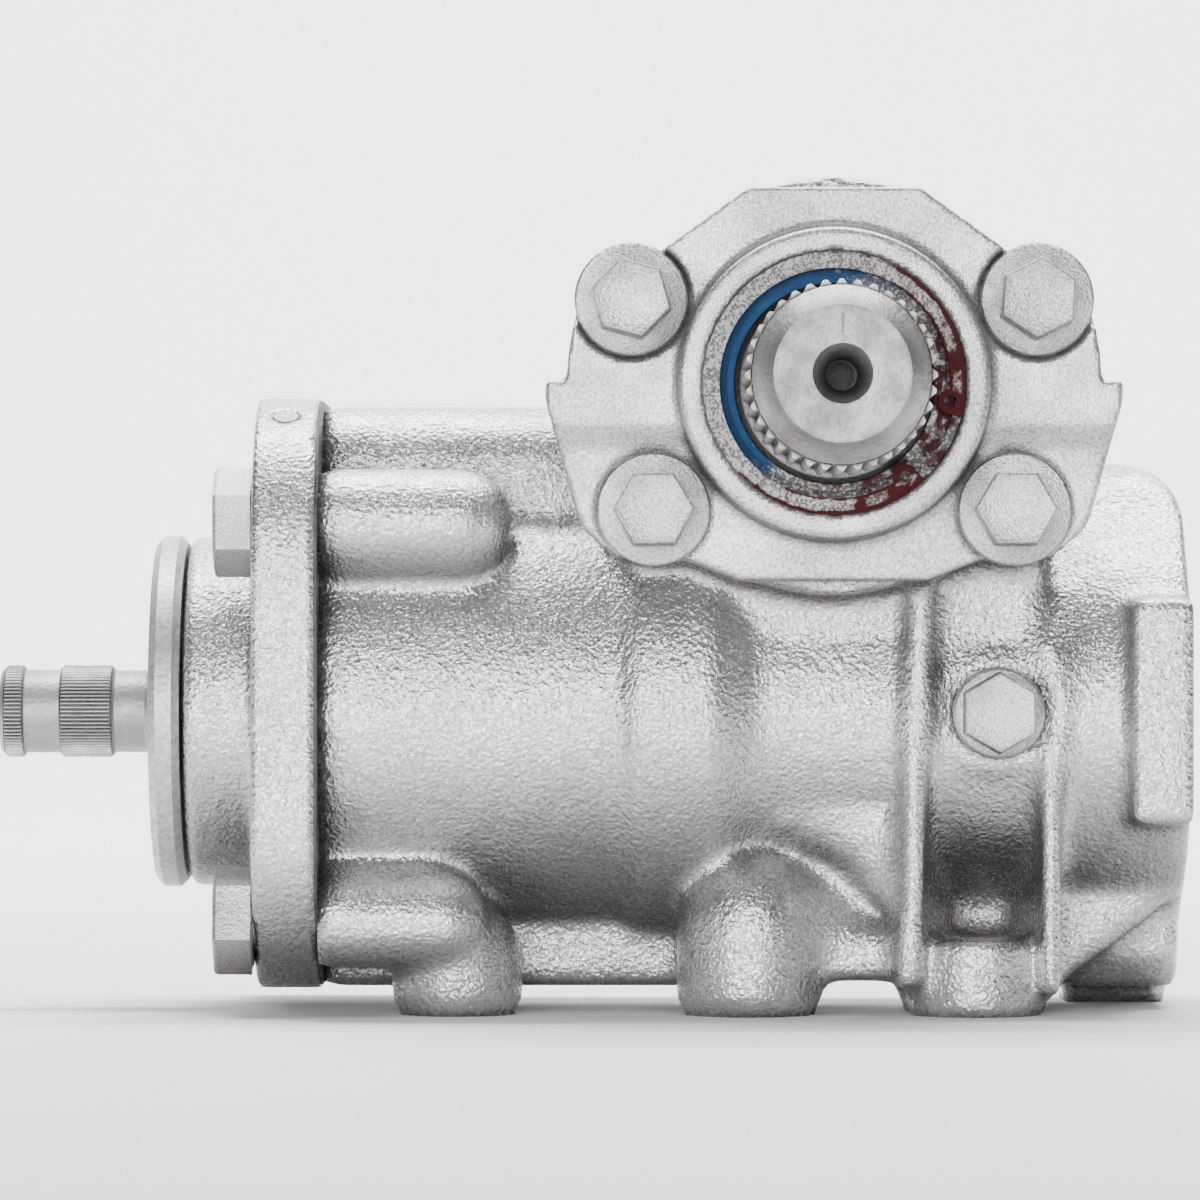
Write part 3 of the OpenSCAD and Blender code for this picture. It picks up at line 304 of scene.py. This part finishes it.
oilLook = {"red": (0.045, 0.004, 0.005, 1), "spray": grey(0.5, 0.01), "shade": grey(0.12, 0.03),
           "right": 40.0, "down": 22.0, "rough": 0.42, "swing": 0.2}
sealLook = {**oilLook, "blue": (0.002, 0.036, 0.11, 1), "paleBlue": (0.004, 0.06, 0.16, 1),
            "mottle": 3 * mm, "smear": 5 * mm, "grain": 0.7 * mm, "shine": 0.15,
            "mottleBand": (0.3, 0.7), "grainBand": (0.5, 0.6), "smearBand": (0.45, 0.55),
            "dirtyBand": (-0.35, 0.1), "redBand": (0.0, 0.6), "ragged": 1.6,
            "depth": 0.1 * mm, "relief": 0.15}
clipLook = {**oilLook, "smear": 4 * mm, "grain": 0.45 * mm, "shine": 0.1, "metal": 0.1,
            "outerRim": (25.2 * mm, 25.8 * mm), "outerShare": 0.9,
            "innerRim": (22.9 * mm, 23.5 * mm), "innerShare": 0.7, "sideShare": 0.9,
            "ragged": 3.0, "oilBand": (0.3, 0.8), "grainBand": (0.42, 0.58),
            "depth": 0.08 * mm, "relief": 0.4}


# how far a point lies to the right of the output shaft and below it, about -1 to 1
def oilSide(f, look):
    right = (f.axis("X") - outputAt.x) * look["right"]
    return right - (f.axis("Z") - outputAt.z) * look["down"]


# blue lip seal: clean on its upper left, red oil and paint spray on the rest
def oilySeal(name, look):
    f = Finish(name, Specular_IOR_Level=look["shine"])
    mottle = f.noise(look["mottle"], 3.0)
    smear = f.noise(look["smear"], 4.0, 0.6)
    grain = f.noise(look["grain"], 3.0)
    side = oilSide(f, look)
    dirty = (side + (smear - 0.5) * look["ragged"]).band(*look["dirtyBand"])
    colour = f.mix(mottle.band(*look["mottleBand"]), look["blue"], look["paleBlue"])
    soiled = f.mix(grain.band(*look["grainBand"]), look["shade"], look["spray"])
    red = (smear.band(*look["smearBand"]) * side.band(*look["redBand"])).clamped()
    colour = f.mix(dirty, colour, f.mix(red, soiled, look["red"]))
    rough = look["rough"] + grain * look["swing"]
    normal = f.bump(mottle, look["relief"], look["depth"])
    return f.feed(Base_Color=colour, Roughness=rough, Normal=normal)


# circlip: paint spray on its face, red oil at its rims and towards the lower right
def oilyClip(name, look):
    f = Finish(name, Metallic=look["metal"], Specular_IOR_Level=look["shine"])
    smear = f.noise(look["smear"], 4.0, 0.6)
    grain = f.noise(look["grain"], 3.0)
    r = f.around(outputAt, "X", "Z")
    rim = (r.band(*look["outerRim"]) * look["outerShare"]
           + (1 - r.band(*look["innerRim"])) * look["innerShare"])
    side = oilSide(f, look) * look["sideShare"]
    oil = (side + rim + (smear - 0.5) * look["ragged"]).band(*look["oilBand"])
    colour = f.mix(grain.band(*look["grainBand"]), look["shade"], look["spray"])
    colour = f.mix(oil, colour, look["red"])
    rough = look["rough"] + grain * look["swing"]
    normal = f.bump(grain, look["relief"], look["depth"])
    return f.feed(Base_Color=colour, Roughness=rough, Normal=normal)


boltLook = {**fineLook, "grain": 0.5 * mm}
boltPaintMat = finePaint("silverBoltPaint", boltLook)
slotMats = {"cast_paint": castPaint("silverCastPaint", castLook),
            "cover_paint": finePaint("silverCoverPaint", fineLook),
            "bolt_paint": boltPaintMat,
            "steel": innerSteel("innerSteel", innerLook),
            "gasket": rubber("gasketFibre", fibreLook),
            "black_rubber": rubber("blackRubber", rubberLook),
            "blue_rubber": oilySeal("oilyBlueSeal", sealLook)}
# nodes that look different from their slot
nodeMats = {"input_shaft": inputSteel("inputSteel", inputLook),
            "sector_shaft": outputSteel("outputSteel", outputLook),
            "seal_circlip": oilyClip("oilyClip", clipLook),
            "plug_washer": boltPaintMat}


def dress(obj, material):
    obj.data.materials.clear()
    obj.data.materials.append(material)


for name, obj in nodes.items():
    dress(obj, nodeMats[name] if name in nodeMats else slotMats[slotOf[name]])
print("materials on", len(nodes), "nodes")


# a node's own faces, with the points that they share merged
def mergedNode(node):
    bm = bmesh.new()
    bm.from_mesh(nodes[node].data)
    bmesh.ops.remove_doubles(bm, verts=bm.verts, dist=weld)
    return bm


def toObject(bm, name):
    mesh = bpy.data.meshes.new(name)
    bm.to_mesh(mesh)
    bm.free()
    obj = bpy.data.objects.new(name, mesh)
    scene.collection.objects.link(obj)
    return obj


# a piece of the box that shows in the place of a node
def standIn(obj, node):
    dress(obj, slotMats[slotOf[node]])
    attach(obj, "box")
    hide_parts(node)


def only(geom, kind):
    return [g for g in geom if isinstance(g, kind)]


# castings: size and softening of the skin, sides of the node's box that are milled flat
# (corner, axis), and boxes where the near side has a larger fillet
castings = {
    "housing": {"voxel": 1.52 * mm, "rounds": 12, "milled": [(0, 0), (0, 1), (0, 2)],
                "fillets": [{"low": (40 * mm, -24 * mm, 12 * mm),
                             "high": (66 * mm, 6 * mm, 42 * mm), "rounds": 25},
                            {"low": (86 * mm, -24 * mm, 68 * mm),
                             "high": (102 * mm, 6 * mm, 88 * mm), "rounds": 15}]},
    "end_cover": {"voxel": 1.0 * mm, "rounds": 6, "milled": [(1, 0)], "fillets": []},
    "sector_cover": {"voxel": 0.8 * mm, "rounds": 3, "milled": [], "fillets": []}}
softening = {"factor": 0.5, "nearSide": 0.3}  # step of a round, highest Y of a near-side normal


def bakeModifiers(obj):
    ready = obj.evaluated_get(bpy.context.evaluated_depsgraph_get())
    mesh = bpy.data.meshes.new_from_object(ready)
    obj.modifiers.clear()
    obj.data = mesh


def inside(point, fillet):
    return all(low < c < high for low, c, high in zip(fillet["low"], point, fillet["high"]))


# more smoothing of the near side inside a fillet's box
def soften(obj, fillet):
    bm = bmesh.new()
    bm.from_mesh(obj.data)
    near = [v for v in bm.verts if v.normal.y < softening["nearSide"] and inside(v.co, fillet)]
    for i in range(fillet["rounds"]):
        bmesh.ops.smooth_vert(bm, verts=near, factor=softening["factor"],
                              use_axis_x=True, use_axis_y=True, use_axis_z=True)
    bm.to_mesh(obj.data)
    bm.free()


# merged copy of a node, skinned and softened so that its edges and corners get cast radii
def castCopy(node, settings):
    obj = toObject(mergedNode(node), node + "Cast")
    skin = obj.modifiers.new("skin", "REMESH")
    skin.mode = "VOXEL"
    skin.voxel_size = settings["voxel"]
    skin.use_smooth_shade = True
    smooth = obj.modifiers.new("smooth", "SMOOTH")
    smooth.factor = softening["factor"]
    smooth.iterations = settings["rounds"]
    bakeModifiers(obj)
    for fillet in settings["fillets"]:
        soften(obj, fillet)
    for corner, axis in settings["milled"]:
        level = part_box(node)[corner][axis]
        for vert in obj.data.vertices:
            if abs(vert.co[axis] - level) < settings["voxel"]:
                vert.co[axis] = level
    standIn(obj, node)
    print(node, "cast:", len(obj.data.polygons), "faces")
    return obj


# how far the rays reach and how dark the painted shade gets on the castings
castShading = {"lift": 1.4 * mm, "reach": 40 * mm, "free": 0.22, "shelter": 1.0, "below": 0.85,
            "most": 0.7}
shadedPieces = [(castCopy(node, settings), castShading) for node, settings in castings.items()]


# low and high corner of each solid of a node, in order of X, Z and Y
def solidBoxes(node):
    bm = mergedNode(node)
    left, boxes = set(bm.verts), []
    while left:
        front, reached = [left.pop()], []
        while front:
            vert = front.pop()
            reached.append(vert.co.copy())
            beside = [e.other_vert(vert) for e in vert.link_edges]
            front += [v for v in beside if v in left]
            left.difference_update(beside)
        boxes.append([Vector(pick(c[i] for c in reached) for i in range(3)) for pick in (min, max)])
    bm.free()
    return sorted(boxes, key=lambda box: [round(box[0][i], 4) for i in (0, 2, 1)])


# face pushed up by a height, with new sides below it
def pushUp(bm, face, height, keep):
    grown = bmesh.ops.extrude_face_region(bm, geom=[face], use_keep_orig=keep)["geom"]
    top = only(grown, bmesh.types.BMFace)[0]
    bmesh.ops.translate(bm, verts=top.verts, vec=(0, 0, height))
    return top


# what all screws share: flange edges, the collar under the hexagon, the rim of the sunken top
headLook = {"edge": 0.3 * mm, "slope": 0.4 * mm, "collar": 1.2, "collarIn": 0.8 * mm,
            "proud": 0.06 * mm, "dishRim": 0.8 * mm, "steps": 72, "sharp": 25}
coverScrews = {"flats": 14 * mm, "flangeR": 11.3 * mm, "rim": 1.4 * mm, "skirt": 1.8 * mm,
               "height": 9.6 * mm, "foot": 0.35 * mm, "bevel": 0.45 * mm, "dish": 0.25 * mm,
               "shankR": 4.9 * mm, "shank": 24 * mm, "turns": [45, 1, 0, 26]}
endBolts = {"flats": 19 * mm, "flangeR": 9.4 * mm, "rim": 0.6 * mm, "skirt": 0.8 * mm,
            "height": 8 * mm, "foot": 0.1 * mm, "bevel": 0.8 * mm, "dish": 0.25 * mm,
            "shankR": 5.9 * mm, "shank": 33 * mm, "turns": [12, 20, 0, 30]}
plugScrew = {"flats": 14 * mm, "flangeR": 9.25 * mm, "rim": 2.4 * mm, "skirt": 2.6 * mm,
             "height": 8.5 * mm, "foot": 0.4 * mm, "bevel": 0.4 * mm, "dish": 0.2 * mm,
             "shankR": 6.9 * mm, "shank": 4 * mm, "turns": [30]}
toNear = Matrix.Rotation(math.pi / 2, 4, "X")
toInput = Matrix.Rotation(-math.pi / 2, 4, "Y")


# shank and flange of a screw, spun from their outline
def spinFlange(part, size):
    wide, rim, skirt, edge = size["flangeR"], size["rim"], size["skirt"], headLook["edge"]
    collar = min(size["flats"] / 2 * headLook["collar"], wide - headLook["collarIn"])
    outline = [(0, -size["shank"]), (size["shankR"], -size["shank"]), (size["shankR"], 0),
               (wide - edge, 0), (wide, edge), (wide, rim - edge),
               (wide - headLook["slope"], rim), (collar, skirt), (0, skirt)]
    verts = [part.verts.new((r, 0, z)) for r, z in outline]
    edges = [part.edges.new(pair) for pair in zip(verts, verts[1:])]
    bmesh.ops.spin(part, geom=verts + edges, cent=(0, 0, 0), axis=(0, 0, 1), angle=math.tau,
                   steps=headLook["steps"], use_merge=True)
    bmesh.ops.remove_doubles(part, verts=part.verts, dist=weld)


# hexagon of a screw: a foot on the flange, a bevelled rim and a sunken top
def raiseHexagon(part, size, turn):
    start, foot = size["rim"] / 2, size["skirt"] + headLook["proud"]
    corner = (size["flats"] / 2 + size["foot"]) / math.cos(math.pi / 6)
    at = Matrix.Translation((0, 0, start)) @ Matrix.Rotation(turn + math.pi / 6, 4, "Z")
    base = bmesh.ops.create_circle(part, cap_ends=True, segments=6, radius=corner, matrix=at)
    top = pushUp(part, base["verts"][0].link_faces[0], foot - start, True)
    bmesh.ops.recalc_face_normals(part, faces=part.faces)
    bmesh.ops.inset_individual(part, faces=[top], thickness=size["foot"], use_even_offset=True)
    top = pushUp(part, top, size["height"] - foot, False)
    bmesh.ops.bevel(part, geom=list(top.edges), offset=size["bevel"], offset_type="OFFSET",
                    segments=2, profile=0.5, affect="EDGES", material=-1)
    bmesh.ops.recalc_face_normals(part, faces=part.faces)
    top = max(part.faces, key=lambda face: face.calc_center_median().z)
    bmesh.ops.inset_individual(part, faces=[top], thickness=headLook["dishRim"],
                               depth=-size["dish"], use_even_offset=True)


# one screw, made upright on the XY plane and added to bm at its seat
def screw(bm, size, turn, matrix):
    part = bmesh.new()
    spinFlange(part, size)
    raiseHexagon(part, size, turn)
    bmesh.ops.transform(part, matrix=matrix, verts=part.verts)
    made = bpy.data.meshes.new("screw")
    part.to_mesh(made)
    part.free()
    bm.from_mesh(made)
    bpy.data.meshes.remove(made)


# new screws in the places of a node's solids, with their heads out along -Y or -X
def screwSet(name, node, size, facing, axis):
    bm = bmesh.new()
    for box, turn in zip(solidBoxes(node), size["turns"]):
        seat = (box[0] + box[1]) / 2
        seat[axis] = box[0][axis] + size["height"]
        screw(bm, size, math.radians(turn), Matrix.Translation(seat) @ facing)
    obj = toObject(bm, name)
    obj.data.shade_smooth()
    obj.data.set_sharp_from_angle(angle=math.radians(headLook["sharp"]))
    standIn(obj, node)
    return obj


# the same for the screws, whose lower facets get painted shade
screwShading = {"lift": 0.3 * mm, "reach": 8 * mm, "free": 0.1, "shelter": 1.6, "below": 1.3,
             "most": 0.8}
shadedPieces += [(screwSet("coverScrews", "cover_bolts", coverScrews, toNear, 1), screwShading),
         (screwSet("endBolts", "end_cover_bolts", endBolts, toInput, 0), screwShading),
         (screwSet("plugScrew", "centre_plug", plugScrew, toNear, 1), screwShading)]
print("screws made")


# pieces in one tree, so that they shelter each other
def shelterTree(pieces):
    points, faces = [], []
    for obj in pieces:
        first = len(points)
        points += [obj.matrix_world @ vert.co for vert in obj.data.vertices]
        faces += [[first + i for i in face.vertices] for face in obj.data.polygons]
    return BVHTree.FromPolygons(points, faces)


# rays in all directions, those that graze a surface left out, slope where an underside begins
shadeRays = {"count": 40, "graze": 0.15, "underside": 0.1}


# painted shade where a piece is sheltered or looks down, kept as the point attribute that Finish reads
def paintShade(obj, shading, tree):
    count = shadeRays["count"]
    heights = [1 - (2 * i + 1) / count for i in range(count)]
    turns = [i * math.pi * (3 - math.sqrt(5)) for i in range(count)]
    rays = [Vector((math.cos(t), math.sin(t), 0)) * math.sqrt(1 - z * z) + Vector((0, 0, z))
            for t, z in zip(turns, heights)]
    paintedShade = obj.data.attributes.new("paintedShade", "FLOAT", "POINT")
    for vert, darkness in zip(obj.data.vertices, paintedShade.data):
        normal = vert.normal
        start = vert.co + normal * shading["lift"]
        out = [ray for ray in rays if ray.dot(normal) > shadeRays["graze"]]
        hits = sum(tree.ray_cast(start, ray, shading["reach"])[0] is not None for ray in out)
        sheltered = max(0.0, hits / len(out) - shading["free"]) * shading["shelter"]
        under = max(0.0, -normal.z - shadeRays["underside"])
        darkness.value = min(shading["most"], sheltered + shading["below"] * under)


# all that shows shelters the rest, apart from the end cover
remade = {*castings, "cover_bolts", "end_cover_bolts", "centre_plug"}
shelters = [obj for obj, shading in shadedPieces if obj.name != "end_coverCast"]
tree = shelterTree(shelters + [obj for name, obj in nodes.items() if name not in remade])
for obj, shading in shadedPieces:
    paintShade(obj, shading, tree)
print("pieces shaded")

# camera at the photograph's height and side, far off with a long lens
photoSide = 1200  # pixels
view = {"lens": 196.2, "sensor": 36, "at": (4.25 * mm, -1338 * mm, 71.9 * mm),
        "shift": (-10 / photoSide, 60 / photoSide)}
cameraData = bpy.data.cameras.new("camera")
cameraData.sensor_fit = "HORIZONTAL"
cameraData.sensor_width = view["sensor"]
cameraData.lens = view["lens"]
cameraData.shift_x, cameraData.shift_y = view["shift"]
camera = bpy.data.objects.new("camera", cameraData)
camera.location = view["at"]
camera.rotation_euler = (math.radians(90), 0, 0)
scene.collection.objects.link(camera)
scene.camera = camera

# pale sweep: floor that curves up behind the box
sweep = {"near": -3.0, "far": 1.6, "half": 4.0, "bend": 0.8, "wall": 3.5, "steps": 16,
         "deep": grey(0.86), "pale": grey(0.88), "mottle": 0.4, "rough": 0.9}
bm = bmesh.new()
corners = [bm.verts.new((side * sweep["half"], sweep["near"], 0)) for side in (-1, 1)]
grown = bmesh.ops.extrude_edge_only(bm, edges=[bm.edges.new(corners)])["geom"]
bmesh.ops.translate(bm, verts=only(grown, bmesh.types.BMVert),
                    vec=(0, sweep["far"] - sweep["near"], 0))
turned = bmesh.ops.spin(bm, geom=only(grown, bmesh.types.BMEdge), axis=(1, 0, 0),
                        cent=(0, sweep["far"], sweep["bend"]), angle=math.radians(90),
                        steps=sweep["steps"], use_merge=False)["geom_last"]
grown = bmesh.ops.extrude_edge_only(bm, edges=only(turned, bmesh.types.BMEdge))["geom"]
bmesh.ops.translate(bm, verts=only(grown, bmesh.types.BMVert), vec=(0, 0, sweep["wall"]))
bmesh.ops.recalc_face_normals(bm, faces=bm.faces)
floor = toObject(bm, "floor")
floor.data.shade_smooth()
paper = Finish("palePaper", Roughness=sweep["rough"])
mottled = paper.mix(paper.noise(sweep["mottle"]), sweep["deep"], sweep["pale"])
dress(floor, paper.feed(Base_Color=mottled))

# soft studio light: a wide low front panel, a top panel and a wash on the backdrop
panels = {"front": {"at": (-0.25, -2.4, 0.42), "aim": (0, 0, 0.08), "size": (2.0, 0.8),
                    "power": 60},
          "top": {"at": (0, -0.36, 1.4), "aim": (0, -0.35, 0), "size": (1.4, 0.5), "power": 6},
          "wash": {"at": (0, 0.5, 2.4), "aim": (0, 2.2, 0.8), "size": (3.0, 0.8), "power": 300}}
surround = {"Color": (1, 1, 1, 1), "Strength": 0.05}
for name, panel in panels.items():
    lamp = bpy.data.lights.new(name, "AREA")
    lamp.shape = "RECTANGLE"
    lamp.size, lamp.size_y = panel["size"]
    lamp.energy = panel["power"]
    light = bpy.data.objects.new(name, lamp)
    light.location = panel["at"]
    aim = Vector(panel["aim"]) - light.location
    light.rotation_euler = aim.to_track_quat("-Z", "Y").to_euler()
    scene.collection.objects.link(light)
world = bpy.data.worlds.new("studio")
world.use_nodes = True
for key, value in surround.items():
    world.node_tree.nodes["Background"].inputs[key].default_value = value
scene.world = world
print("stage set")
